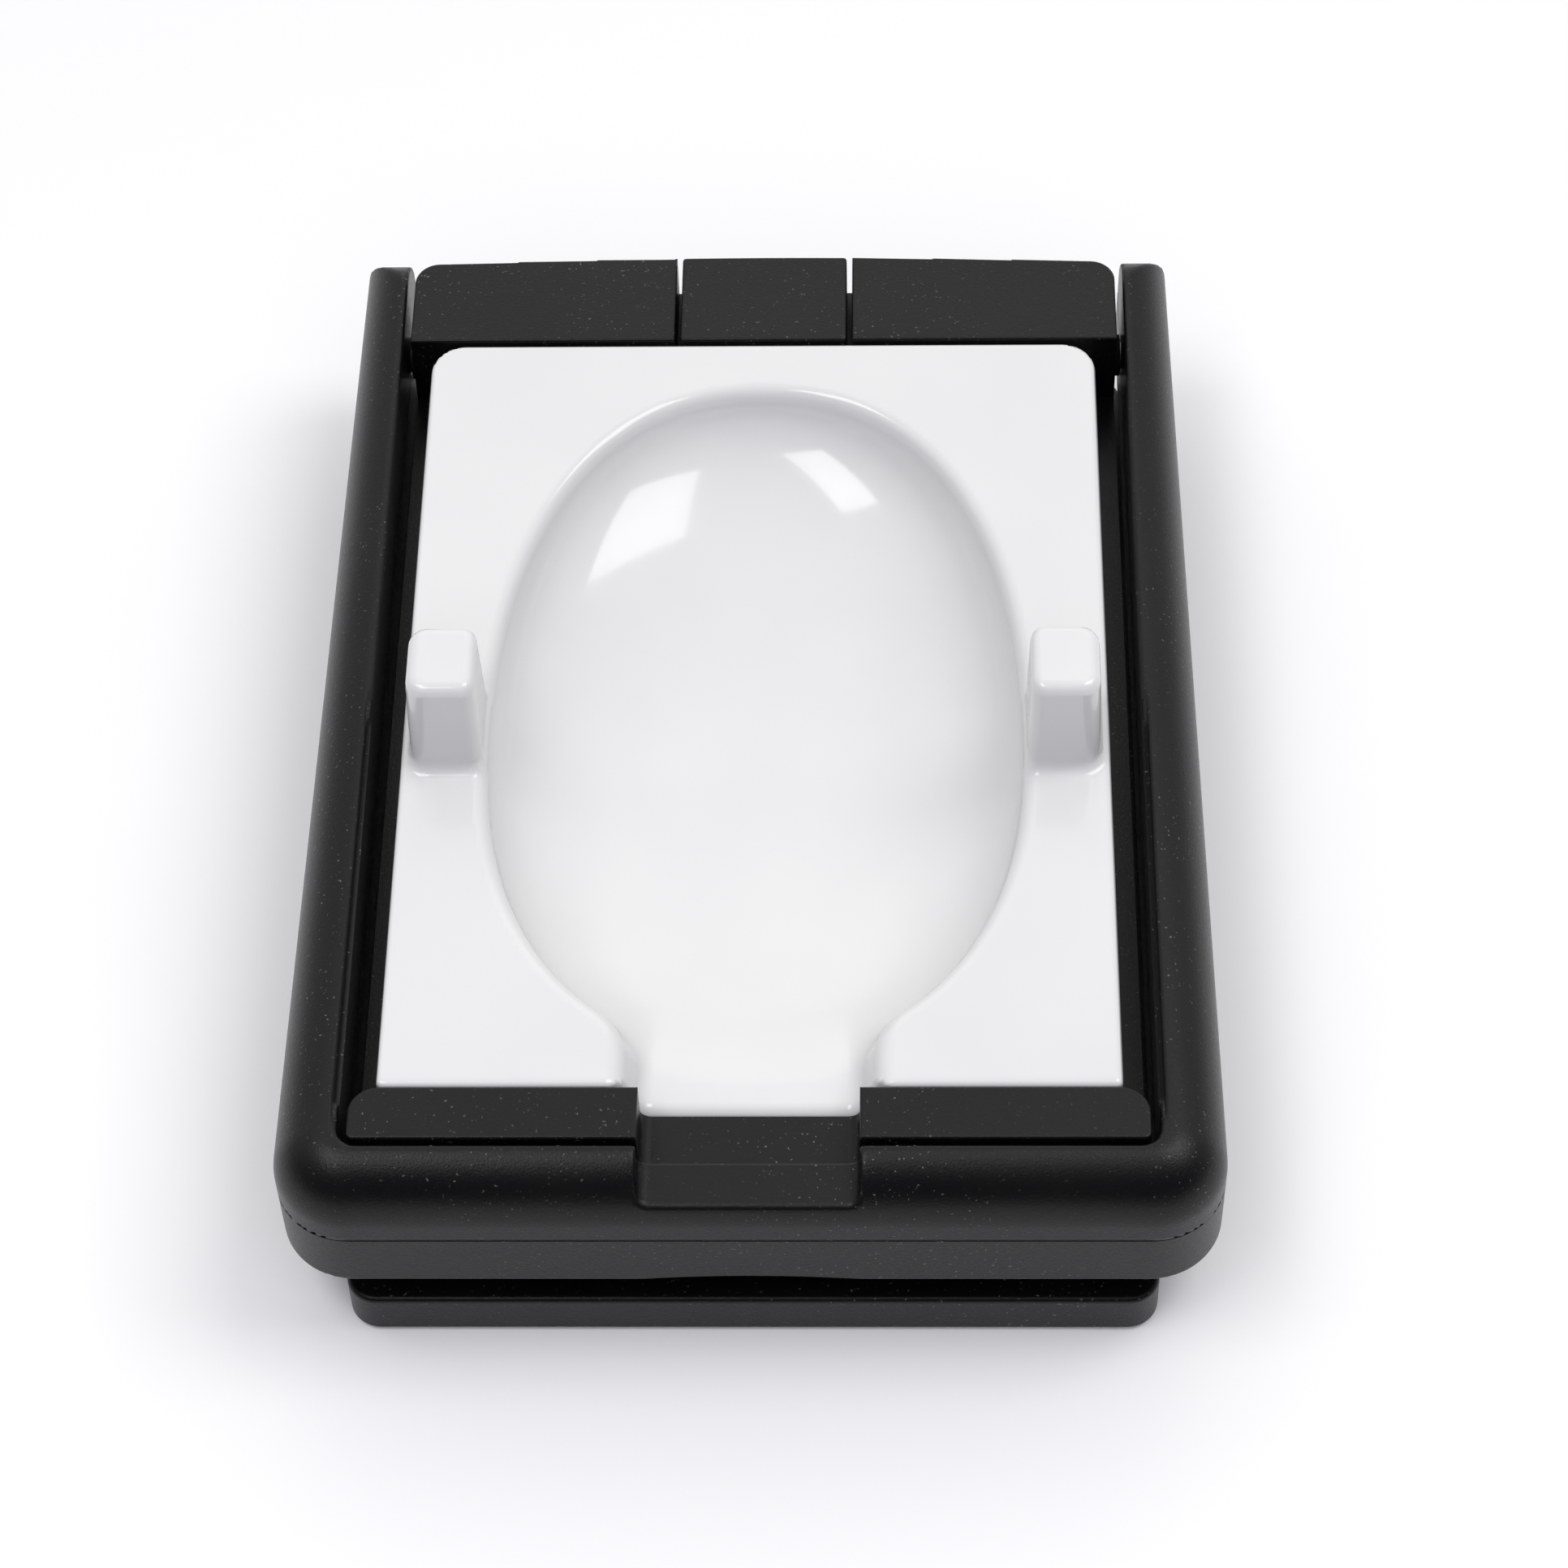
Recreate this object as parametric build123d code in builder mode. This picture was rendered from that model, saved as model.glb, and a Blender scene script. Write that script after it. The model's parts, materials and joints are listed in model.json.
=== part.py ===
"""Pocket holder: a black tray on a base flange, a glossy dish insert, a rear catch and a swing bow.

Millimetres. +Z is up, +Y points to the rear wall, X runs across. The origin is the middle of the
footprint, on the surface that the holder stands on. The sizes below count Y from the middle of
the tray; write() moves each piece to the origin.
"""

import os
from math import cos, copysign, pi, sin

from build123d import *

# Heights above the standing surface
FOOT_PROUD = 0.3
FOOT_PAD_HEIGHT = 1.2
BASE_TOP = 4.8
SEAT_Z = 9.0
RIM_Z = 13.6
TOP_Z = 21.6

# Tray, seen from above
TRAY_HALF_WIDTH = 32.1
TRAY_FRONT = -45.25
FRONT_WALL = 4.9
REAR_WALL_FRONT = 39.75
REAR_CORNER_Y = 49.3
REAR_MIDDLE_Y = 50.0
POCKET_HALF_WIDTH = 30.2
POCKET_REAR = 39.45
CAVITY_HALF_WIDTH = 28.7
TROUGH_HALF_WIDTH = 8.9
TROUGH_FLOOR = 17.0
TROUGH_FILLET = 1.0
BLOCK_BACK = TRAY_FRONT + FRONT_WALL
BLOCK_CORNER = 2.4
BLOCK_ROUNDING = 0.25

# Insert
INSERT_HALF_WIDTH = 30.0
INSERT_FRONT = -40.25
INSERT_REAR = 39.25
INSERT_WALL = 2.0
PLATE_THICKNESS = 2.8
BOWL_CENTRE_Y = -5.65
BOWL_HALF_WIDTH = 22.7
BOWL_BACK = 39.0
BOWL_FRONT = 30.8
BOWL_DEPTH = 9.6
EGG_POWER = 2.25
DEPTH_POWER = 2.6
NECK_HALF_WIDTH = 10.4
NECK_FLOOR_HALF_WIDTH = 8.85
NECK_FLOOR = 17.05
POST_INNER = 22.75
POST_TOP = 31.6

# Bow
BOW_FRONT = -50.45
BOW_BAR_INNER = -45.65
BOW_REAR = 52.05
BOW_REAR_TOP_RADIUS = 5.5
BOW_REAR_BOTTOM_RADIUS = 3.0
BOW_HALF_WIDTH_FRONT = 38.5
BOW_HALF_WIDTH_REAR = 37.1
BOW_INNER_HALF_WIDTH = 32.8
BOW_LEDGE_WIDTH = 0.4
BOW_LEDGE_DEPTH = 0.5
BOW_LEDGE_START = 1.0
BOW_BOTTOM = 8.1
BOW_PARTING = 14.4
BOW_ROUNDING = 3.7
BOW_INNER_ROUNDING = 0.4
SEAM_CHAMFER = 0.08
BOW_OUTER_RADIUS = 6.2
BOW_INNER_RADIUS = 1.5
NOTCH_FLOOR = 18.7

# Bow pivots, on the bow's parting plane
PIVOT_Y = 44.15
PIN_DIAMETER = 2.5
BUSH_DIAMETER = 4.0
BUSH_BORE = 2.6
PIN_INNER_X = 24.0
PIN_HEAD_X = 35.05
PIN_HEAD_DIAMETER = 3.6
PIN_HEAD_LENGTH = 0.7
BUSH_OUTER_X = 35.0

# Rear catch
CATCH_HALF_WIDTH = 7.55
CATCH_SLOT = 0.5
CATCH_FLOOR = 16.7
CATCH_CLEARANCE = 0.15
STEM_HALF_WIDTH = 2.0
STEM_FRONT = 42.6
STEM_REAR = 44.8
KEEPER_TOP = 14.7
KEEPER_THICKNESS = 1.6
CATCH_CAVITY_REAR = 48.2

# Base
BASE_HALF_WIDTH = 33.4
BASE_REAR = 49.9
BASE_CORNER = 2.6

SCREW_HEAD_DIAMETER = 3.6
SCREW_HEAD_HEIGHT = 1.4
SCREW_SHANK = 1.9
SCREW_PILOT = 2.0
BOW_SCREW_HEAD = 2.6
BOW_SCREW_SHANK = 1.4
BOW_SCREW_PILOT = 1.5

base_screw_spots = [(x, y) for x in (-26.0, 26.0) for y in (-36.2, 35.4)]
foot_spots = {
    "front_left": (-26.0, -44.0),
    "front_right": (26.0, -44.0),
    "rear_left": (-26.0, 43.5),
    "rear_right": (26.0, 43.5),
}
bow_screw_spots = [
    (side * x, y) for side in (-1, 1) for x, y in ((34.7, 28.0), (35.2, -18.0), (22.0, -48.05))
]
sides = {"left": -1, "right": 1}

os.makedirs("parts", exist_ok=True)


def write(builder, label):
    """Centre a finished piece on the footprint, name it and write its STEP file."""
    piece = Pos(0, -(BOW_FRONT + BOW_REAR) / 2, 0) * builder.part
    piece.label = label
    export_step(piece, f"parts/{label}.step")


def egg_points(scale, extra=0.0, count=20):
    """Points of the bowl's egg outline at one scale, grown outwards by extra."""
    points = []
    for i in range(count):
        angle = 2 * pi * i / count
        c, s = cos(angle), sin(angle)
        length = BOWL_BACK if s >= 0 else BOWL_FRONT
        x = (BOWL_HALF_WIDTH + extra) * copysign(abs(c) ** (2 / EGG_POWER), c)
        y = (length + extra) * copysign(abs(s) ** (2 / EGG_POWER), s)
        points.append((x * scale, BOWL_CENTRE_Y + y * scale))
    return points


def bowl_levels(depth):
    """Pairs of outline scale and height down the bowl, for one depth."""
    scales = (1.0, 0.96, 0.88, 0.72, 0.48, 0.2)
    return [(s, TOP_Z - depth * (1 - s**DEPTH_POWER) ** (1 / DEPTH_POWER)) for s in scales]


# ---------------------------------------------------------------- base

with BuildPart() as base_plate:
    with BuildSketch(Plane.XY.offset(FOOT_PROUD)):
        with Locations((0, (BOW_FRONT + BASE_REAR) / 2)):
            RectangleRounded(2 * BASE_HALF_WIDTH, BASE_REAR - BOW_FRONT, BASE_CORNER)
    extrude(amount=BASE_TOP - FOOT_PROUD)
    fillet(base_plate.faces().sort_by(Axis.Z)[-1].edges(), 0.45)
    fillet(base_plate.faces().sort_by(Axis.Z)[0].edges(), 0.3)
    with BuildSketch(Plane.XY.offset(FOOT_PROUD)):
        with Locations(*foot_spots.values()):
            Circle(4.1)
    extrude(amount=FOOT_PAD_HEIGHT - FOOT_PROUD, mode=Mode.SUBTRACT)
    with BuildSketch(Plane.XY.offset(FOOT_PROUD)):
        with Locations(*base_screw_spots):
            Circle(SCREW_HEAD_DIAMETER / 2 + 0.2)
    extrude(amount=SCREW_HEAD_HEIGHT + 0.4, mode=Mode.SUBTRACT)
    with BuildSketch(Plane.XY):
        with Locations(*base_screw_spots):
            Circle(SCREW_PILOT / 2 + 0.1)
    extrude(amount=BASE_TOP + 1, mode=Mode.SUBTRACT)
write(base_plate, "base_plate")

for corner, spot in foot_spots.items():
    with BuildPart() as foot_pad:
        with BuildSketch(Plane.XY):
            with Locations(spot):
                Circle(4.0)
        extrude(amount=FOOT_PAD_HEIGHT)
        fillet(foot_pad.faces().sort_by(Axis.Z)[0].edges(), 0.2)
    write(foot_pad, f"foot_pad_{corner}")

with BuildPart() as base_screws:
    with BuildSketch(Plane.XY.offset(FOOT_PROUD + 0.4)):
        with Locations(*base_screw_spots):
            Circle(SCREW_HEAD_DIAMETER / 2)
    extrude(amount=SCREW_HEAD_HEIGHT)
    with BuildSketch(Plane.XY.offset(FOOT_PROUD + 0.4 + SCREW_HEAD_HEIGHT)):
        with Locations(*base_screw_spots):
            Circle(SCREW_SHANK / 2)
    extrude(amount=SEAT_Z - 0.6 - FOOT_PROUD - 0.4 - SCREW_HEAD_HEIGHT)
    with BuildSketch(Plane.XY.offset(FOOT_PROUD + 0.4)):
        with Locations(*base_screw_spots):
            Rectangle(2.0, 0.5)
            Rectangle(0.5, 2.0)
    extrude(amount=0.8, mode=Mode.SUBTRACT)
write(base_screws, "base_screws")

with BuildPart() as bow_stop_pads:
    with BuildSketch(Plane.XY.offset(BASE_TOP)):
        with Locations((-24, -46.7), (24, -46.7)):
            RectangleRounded(8.0, 1.8, 0.6)
    extrude(amount=BOW_BOTTOM - BASE_TOP - 0.1)
write(bow_stop_pads, "bow_stop_pads")

# ---------------------------------------------------------------- tray

with BuildPart() as tray_frame:
    with BuildSketch(Plane.XY.offset(BASE_TOP)) as tray_plan:
        with BuildLine():
            Polyline(
                (-TRAY_HALF_WIDTH, REAR_CORNER_Y),
                (-TRAY_HALF_WIDTH, TRAY_FRONT),
                (TRAY_HALF_WIDTH, TRAY_FRONT),
                (TRAY_HALF_WIDTH, REAR_CORNER_Y),
            )
            ThreePointArc(
                (TRAY_HALF_WIDTH, REAR_CORNER_Y),
                (0, REAR_MIDDLE_Y),
                (-TRAY_HALF_WIDTH, REAR_CORNER_Y),
            )
        make_face()
        fillet(tray_plan.vertices().group_by(Axis.Y)[-1], 2.2)
        fillet(tray_plan.vertices().group_by(Axis.Y)[0], 0.6)
    extrude(amount=TOP_Z - BASE_TOP)
    # Seat for the insert, and the open space under it
    with BuildSketch(Plane.XY.offset(SEAT_Z)):
        with Locations((0, (POCKET_REAR + TRAY_FRONT + FRONT_WALL) / 2)):
            Rectangle(2 * POCKET_HALF_WIDTH, POCKET_REAR - TRAY_FRONT - FRONT_WALL)
    extrude(amount=TOP_Z, mode=Mode.SUBTRACT)
    with BuildSketch(Plane.XY.offset(BASE_TOP)):
        with Locations((0, -0.45)):
            RectangleRounded(2 * CAVITY_HALF_WIDTH, 76.8, 1.5)
    extrude(amount=SEAT_Z - BASE_TOP, mode=Mode.SUBTRACT)
    # Low side rims between the front blocks and the rear wall
    with BuildSketch(Plane.XY.offset(RIM_Z)):
        with Locations((0, (REAR_WALL_FRONT + TRAY_FRONT + FRONT_WALL) / 2)):
            Rectangle(2 * TRAY_HALF_WIDTH + 2, REAR_WALL_FRONT - TRAY_FRONT - FRONT_WALL)
        for side in sides.values():
            with Locations((side * (TRAY_HALF_WIDTH - BLOCK_CORNER / 2), BLOCK_BACK - BLOCK_CORNER / 2)):
                Rectangle(BLOCK_CORNER, BLOCK_CORNER)
            with Locations((side * (TRAY_HALF_WIDTH - BLOCK_CORNER), BLOCK_BACK - BLOCK_CORNER)):
                Circle(BLOCK_CORNER, mode=Mode.SUBTRACT)
    extrude(amount=TOP_Z, mode=Mode.SUBTRACT)
    # Trough through the front wall, in line with the insert's neck
    with BuildSketch(Plane.XZ.offset(-TRAY_FRONT - FRONT_WALL - 1)) as trough:
        with Locations((0, (TROUGH_FLOOR + TOP_Z + 4) / 2)):
            Rectangle(2 * TROUGH_HALF_WIDTH, TOP_Z + 4 - TROUGH_FLOOR)
        fillet(trough.vertices().group_by(Axis.Y)[0], TROUGH_FILLET)
    extrude(amount=FRONT_WALL + 2, mode=Mode.SUBTRACT)
    # Slots that hold the insert's front tabs
    with BuildSketch(Plane.XY.offset(RIM_Z - 0.15)):
        with Locations((-20, -41.0), (20, -41.0)):
            Rectangle(8.3, 2.6)
    extrude(amount=1.6, mode=Mode.SUBTRACT)
    # Catch pocket, its stem slot and the cavity below it
    with BuildSketch(Plane.XY.offset(CATCH_FLOOR)):
        with Locations((0, REAR_WALL_FRONT + 8)):
            Rectangle(2 * (CATCH_HALF_WIDTH + CATCH_SLOT), 20)
    extrude(amount=TOP_Z, mode=Mode.SUBTRACT)
    with BuildSketch(Plane.XY.offset(KEEPER_TOP)):
        with Locations((0, 44.6)):
            RectangleRounded(2 * (STEM_HALF_WIDTH + CATCH_CLEARANCE), 4.3, 0.5)
    extrude(amount=5, mode=Mode.SUBTRACT)
    with BuildSketch(Plane.XY.offset(BASE_TOP)):
        with Locations((0, (41.6 + CATCH_CAVITY_REAR) / 2)):
            RectangleRounded(13.0, CATCH_CAVITY_REAR - 41.6, 0.8)
    extrude(amount=KEEPER_TOP - BASE_TOP, mode=Mode.SUBTRACT)
    # Coring of the rear wall, open below
    with BuildSketch(Plane.XY.offset(BASE_TOP)):
        with Locations((-14.5, 45.1), (14.5, 45.1)):
            RectangleRounded(11.0, 7.0, 1.0)
    extrude(amount=14.6, mode=Mode.SUBTRACT)
    # Screw posts that carry the base plate
    with BuildSketch(Plane.XY.offset(BASE_TOP)):
        with Locations(*base_screw_spots):
            Rectangle(6.4, 6.4)
    extrude(amount=SEAT_Z - BASE_TOP)
    with BuildSketch(Plane.XY.offset(BASE_TOP)):
        with Locations(*base_screw_spots):
            Circle(SCREW_PILOT / 2)
    extrude(amount=SEAT_Z - BASE_TOP - 0.4, mode=Mode.SUBTRACT)
    # Bores for the pivot sleeves
    for side in sides.values():
        with BuildSketch(Plane.YZ.offset(side * PIN_INNER_X)):
            with Locations((PIVOT_Y, BOW_PARTING)):
                Circle(BUSH_DIAMETER / 2)
        extrude(amount=side * 12, mode=Mode.SUBTRACT)
    fillet(tray_frame.faces().filter_by(Plane.XY).group_by(Axis.Z)[-1].edges(), BLOCK_ROUNDING)
write(tray_frame, "tray_frame")

# ---------------------------------------------------------------- insert

with BuildPart() as dish_insert:
    with BuildSketch(Plane.XY.offset(SEAT_Z)) as insert_plan:
        with Locations((0, (INSERT_FRONT + INSERT_REAR) / 2)):
            Rectangle(2 * INSERT_HALF_WIDTH, INSERT_REAR - INSERT_FRONT)
        fillet(insert_plan.vertices().group_by(Axis.Y)[-1], 3.0)
        fillet(insert_plan.vertices().group_by(Axis.Y)[0], 0.5)
    extrude(amount=TOP_Z - SEAT_Z)
    fillet(dish_insert.faces().sort_by(Axis.Z)[-1].edges(), 0.45)
    with BuildSketch(Plane.XY.offset(SEAT_Z)):
        with Locations((0, (INSERT_FRONT + INSERT_REAR) / 2)):
            RectangleRounded(
                2 * (INSERT_HALF_WIDTH - INSERT_WALL),
                INSERT_REAR - INSERT_FRONT - 2 * INSERT_WALL,
                1.2,
            )
    extrude(amount=TOP_Z - PLATE_THICKNESS - SEAT_Z, mode=Mode.SUBTRACT)
    # Underside of the bowl and of the neck
    with BuildSketch(Plane.XY.offset(NECK_FLOOR - INSERT_WALL)):
        with Locations((0, INSERT_FRONT + 9)):
            Rectangle(2 * NECK_HALF_WIDTH + 3, 18)
    extrude(amount=TOP_Z - 0.5 - NECK_FLOOR + INSERT_WALL)
    for scale, z in bowl_levels(BOWL_DEPTH + INSERT_WALL)[1:]:
        with BuildSketch(Plane.XY.offset(z)):
            with BuildLine():
                Spline(*egg_points(scale, INSERT_WALL), periodic=True)
            make_face()
    loft()
    # Bowl
    for scale, z in bowl_levels(BOWL_DEPTH):
        with BuildSketch(Plane.XY.offset(z)):
            with BuildLine():
                Spline(*egg_points(scale), periodic=True)
            make_face()
    loft(mode=Mode.SUBTRACT)
    # Neck channel, open at the front
    with BuildSketch(Plane.XZ.offset(-INSERT_FRONT + 1)) as neck:
        with BuildLine():
            Polyline(
                (-NECK_HALF_WIDTH, TOP_Z + 1),
                (-NECK_FLOOR_HALF_WIDTH, NECK_FLOOR),
                (NECK_FLOOR_HALF_WIDTH, NECK_FLOOR),
                (NECK_HALF_WIDTH, TOP_Z + 1),
                close=True,
            )
        make_face()
        fillet(neck.vertices().group_by(Axis.Y)[0], TROUGH_FILLET)
    extrude(amount=-14, mode=Mode.SUBTRACT)
    # Posts beside the bowl
    for side in sides.values():
        with BuildSketch(Plane.XY.offset(TOP_Z - 0.5)):
            with Locations((side * (POST_INNER + 3.3), -4.6)):
                RectangleRounded(6.6, 8.6, 1.6)
        with BuildSketch(Plane.XY.offset(POST_TOP)):
            with Locations((side * (POST_INNER + 3.05), -4.58)):
                RectangleRounded(6.1, 7.05, 1.6)
        loft()
    fillet(dish_insert.faces().filter_by(Plane.XY).group_by(Axis.Z)[-1].edges(), 0.8)
    # Front tabs and the groove that the catch's nose enters
    with BuildSketch(Plane.XY.offset(RIM_Z)):
        with Locations((-20, INSERT_FRONT), (20, INSERT_FRONT)):
            Rectangle(8.0, 2.0)
    extrude(amount=1.2)
    with BuildSketch(Plane.XY.offset(17.2)):
        with Locations((0, INSERT_REAR)):
            Rectangle(15.4, 1.4)
    extrude(amount=1.5, mode=Mode.SUBTRACT)
write(dish_insert, "dish_insert")

# ---------------------------------------------------------------- bow


def bow_plan(height):
    """Plan of the U-shaped bow at one height."""
    with BuildSketch(Plane.XY.offset(height)) as plan:
        with BuildLine():
            Polyline(
                (-BOW_HALF_WIDTH_REAR, BOW_REAR),
                (-BOW_HALF_WIDTH_FRONT, BOW_FRONT),
                (BOW_HALF_WIDTH_FRONT, BOW_FRONT),
                (BOW_HALF_WIDTH_REAR, BOW_REAR),
                (BOW_INNER_HALF_WIDTH, BOW_REAR),
                (BOW_INNER_HALF_WIDTH, BOW_BAR_INNER),
                (-BOW_INNER_HALF_WIDTH, BOW_BAR_INNER),
                (-BOW_INNER_HALF_WIDTH, BOW_REAR),
                close=True,
            )
        make_face()
        bar_corners = plan.vertices().filter_by_position(Axis.Y, BOW_BAR_INNER - 0.01, BOW_BAR_INNER + 0.01)
        fillet(bar_corners, BOW_INNER_RADIUS)
        fillet(plan.vertices().group_by(Axis.Y)[0], BOW_OUTER_RADIUS)
    return plan.sketch


def pivot_pocket(side):
    """Disc that cuts one arm's pocket for its bush and pin head."""
    with BuildSketch(Plane.YZ.offset(side * (BOW_INNER_HALF_WIDTH - 1))) as disc:
        with Locations((PIVOT_Y, BOW_PARTING)):
            Circle(BUSH_DIAMETER / 2)
    return disc.sketch


def bow_side(side):
    """Side view of the bow, with the rounded rear ends of the arms."""
    with BuildSketch(Plane.YZ.offset(side * (BOW_HALF_WIDTH_FRONT + 1))) as outline:
        with Locations(((BOW_FRONT + BOW_REAR) / 2, (BOW_BOTTOM + TOP_Z) / 2)):
            Rectangle(BOW_REAR - BOW_FRONT, TOP_Z - BOW_BOTTOM)
        fillet(outline.vertices().group_by(Axis.X)[-1].sort_by(Axis.Y)[0], BOW_REAR_BOTTOM_RADIUS)
        fillet(outline.vertices().group_by(Axis.X)[-1].sort_by(Axis.Y)[-1], BOW_REAR_TOP_RADIUS)
    return outline.sketch


with BuildPart() as bow_upper_shell:
    extrude(bow_plan(BOW_PARTING), amount=TOP_Z - BOW_PARTING)
    chamfer(bow_upper_shell.faces().sort_by(Axis.Z)[0].edges(), SEAM_CHAMFER)
    top_edges = bow_upper_shell.faces().sort_by(Axis.Z)[-1].edges()
    outer_edges = [
        edge
        for edge in top_edges
        if abs(edge.center().X) > BOW_HALF_WIDTH_REAR - 2 and edge.center().Y < BOW_REAR - 1
        or edge.center().Y < BOW_FRONT + 1
    ]
    fillet(outer_edges, BOW_ROUNDING)
    # Ledge along the inner edge of the front half of the arms
    with BuildSketch(Plane.XY.offset(TOP_Z - BOW_LEDGE_DEPTH)) as ledge_plan:
        for side in sides.values():
            with BuildLine():
                Polyline(
                    (side * (BOW_INNER_HALF_WIDTH - 1), BOW_LEDGE_START),
                    (side * BOW_INNER_HALF_WIDTH, BOW_LEDGE_START),
                    (side * (BOW_INNER_HALF_WIDTH + BOW_LEDGE_WIDTH), BOW_LEDGE_START - 5),
                    (side * (BOW_INNER_HALF_WIDTH + BOW_LEDGE_WIDTH), BOW_BAR_INNER + 3),
                    (side * (BOW_INNER_HALF_WIDTH - 1), BOW_BAR_INNER + 3),
                    close=True,
                )
            make_face()
    extrude(amount=BOW_LEDGE_DEPTH + 0.1, taper=-20, mode=Mode.SUBTRACT)
    # Notch that lets the tray's trough run on over the crossbar
    with BuildSketch(Plane.XZ.offset(-BOW_BAR_INNER - 1)) as notch:
        with Locations((0, (NOTCH_FLOOR + TOP_Z + 4) / 2)):
            Rectangle(2 * TROUGH_HALF_WIDTH, TOP_Z + 4 - NOTCH_FLOOR)
        fillet(notch.vertices().group_by(Axis.Y)[0], TROUGH_FILLET)
    extrude(amount=7, mode=Mode.SUBTRACT)
    bar_edges = [
        edge
        for edge in bow_upper_shell.faces().filter_by(Plane.XY).edges()
        if edge.center().Z > NOTCH_FLOOR - 0.1 and abs(edge.center().Y - BOW_BAR_INNER) < 0.1
    ]
    fillet(bar_edges, BOW_INNER_ROUNDING)
    with BuildSketch(Plane.XY.offset(BOW_PARTING)):
        with Locations(*bow_screw_spots):
            Circle(BOW_SCREW_PILOT / 2)
    extrude(amount=3.2, mode=Mode.SUBTRACT)
    for side in sides.values():
        extrude(pivot_pocket(side), amount=side * 4.3, mode=Mode.SUBTRACT)
    extrude(bow_side(1), amount=-2 * (BOW_HALF_WIDTH_FRONT + 1), mode=Mode.INTERSECT)
write(bow_upper_shell, "bow_upper_shell")

with BuildPart() as bow_lower_shell:
    extrude(bow_plan(BOW_BOTTOM), amount=BOW_PARTING - BOW_BOTTOM)
    chamfer(bow_lower_shell.faces().sort_by(Axis.Z)[-1].edges(), SEAM_CHAMFER)
    fillet(bow_lower_shell.faces().sort_by(Axis.Z)[0].edges(), 0.4)
    # Shallow finger relief under the crossbar
    with BuildSketch(Plane.XZ.offset(-BOW_BAR_INNER - 1)):
        with BuildLine():
            Polyline((-11, BOW_BOTTOM), (-11, BOW_BOTTOM - 1), (11, BOW_BOTTOM - 1), (11, BOW_BOTTOM))
            ThreePointArc((11, BOW_BOTTOM), (0, BOW_BOTTOM + 0.8), (-11, BOW_BOTTOM))
        make_face()
    extrude(amount=7, mode=Mode.SUBTRACT)
    with BuildSketch(Plane.XY.offset(BOW_BOTTOM)):
        with Locations(*bow_screw_spots):
            Circle(BOW_SCREW_PILOT / 2)
    extrude(amount=BOW_PARTING - BOW_BOTTOM, mode=Mode.SUBTRACT)
    with BuildSketch(Plane.XY.offset(BOW_BOTTOM)):
        with Locations(*bow_screw_spots):
            Circle(BOW_SCREW_HEAD / 2 + 0.1)
    extrude(amount=1.4, mode=Mode.SUBTRACT)
    for side in sides.values():
        extrude(pivot_pocket(side), amount=side * 4.3, mode=Mode.SUBTRACT)
    extrude(bow_side(1), amount=-2 * (BOW_HALF_WIDTH_FRONT + 1), mode=Mode.INTERSECT)
write(bow_lower_shell, "bow_lower_shell")

with BuildPart() as bow_screws:
    with BuildSketch(Plane.XY.offset(BOW_BOTTOM + 0.3)):
        with Locations(*bow_screw_spots):
            Circle(BOW_SCREW_HEAD / 2)
    extrude(amount=1.1)
    with BuildSketch(Plane.XY.offset(BOW_BOTTOM + 1.4)):
        with Locations(*bow_screw_spots):
            Circle(BOW_SCREW_SHANK / 2)
    extrude(amount=BOW_PARTING + 2.8 - BOW_BOTTOM - 1.4)
    with BuildSketch(Plane.XY.offset(BOW_BOTTOM + 0.3)):
        with Locations(*bow_screw_spots):
            Rectangle(1.5, 0.35)
            Rectangle(0.35, 1.5)
    extrude(amount=0.6, mode=Mode.SUBTRACT)
write(bow_screws, "bow_screws")

# ---------------------------------------------------------------- pivots

for name, side in sides.items():
    pivot_plane = Plane.YZ.offset(side * PIN_INNER_X)
    pivot_point = (PIVOT_Y, BOW_PARTING)

    with BuildPart() as pivot_pin:
        with BuildSketch(pivot_plane):
            with Locations(pivot_point):
                Circle(PIN_DIAMETER / 2)
        extrude(amount=side * (PIN_HEAD_X - PIN_INNER_X))
        with BuildSketch(Plane.YZ.offset(side * PIN_HEAD_X)):
            with Locations(pivot_point):
                Circle(PIN_HEAD_DIAMETER / 2)
        extrude(amount=side * PIN_HEAD_LENGTH)
    write(pivot_pin, f"pivot_pin_{name}")

    with BuildPart() as pin_sleeve:
        with BuildSketch(pivot_plane):
            with Locations(pivot_point):
                Circle(BUSH_DIAMETER / 2)
                Circle(PIN_DIAMETER / 2, mode=Mode.SUBTRACT)
        extrude(amount=side * (TRAY_HALF_WIDTH - 0.1 - PIN_INNER_X))
    write(pin_sleeve, f"pin_sleeve_{name}")

    with BuildPart() as friction_washer:
        with BuildSketch(Plane.YZ.offset(side * TRAY_HALF_WIDTH)):
            with Locations(pivot_point):
                Circle(1.9)
                Circle(BUSH_BORE / 2, mode=Mode.SUBTRACT)
        extrude(amount=side * (BOW_INNER_HALF_WIDTH - TRAY_HALF_WIDTH - 0.1))
    write(friction_washer, f"friction_washer_{name}")

    with BuildPart() as bow_bush:
        with BuildSketch(Plane.YZ.offset(side * (BOW_INNER_HALF_WIDTH + 0.1))):
            with Locations(pivot_point):
                Circle(BUSH_DIAMETER / 2)
                Circle(BUSH_BORE / 2, mode=Mode.SUBTRACT)
        extrude(amount=side * (BUSH_OUTER_X - 0.05 - BOW_INNER_HALF_WIDTH - 0.1))
    write(bow_bush, f"bow_bush_{name}")

# ---------------------------------------------------------------- rear catch

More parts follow.
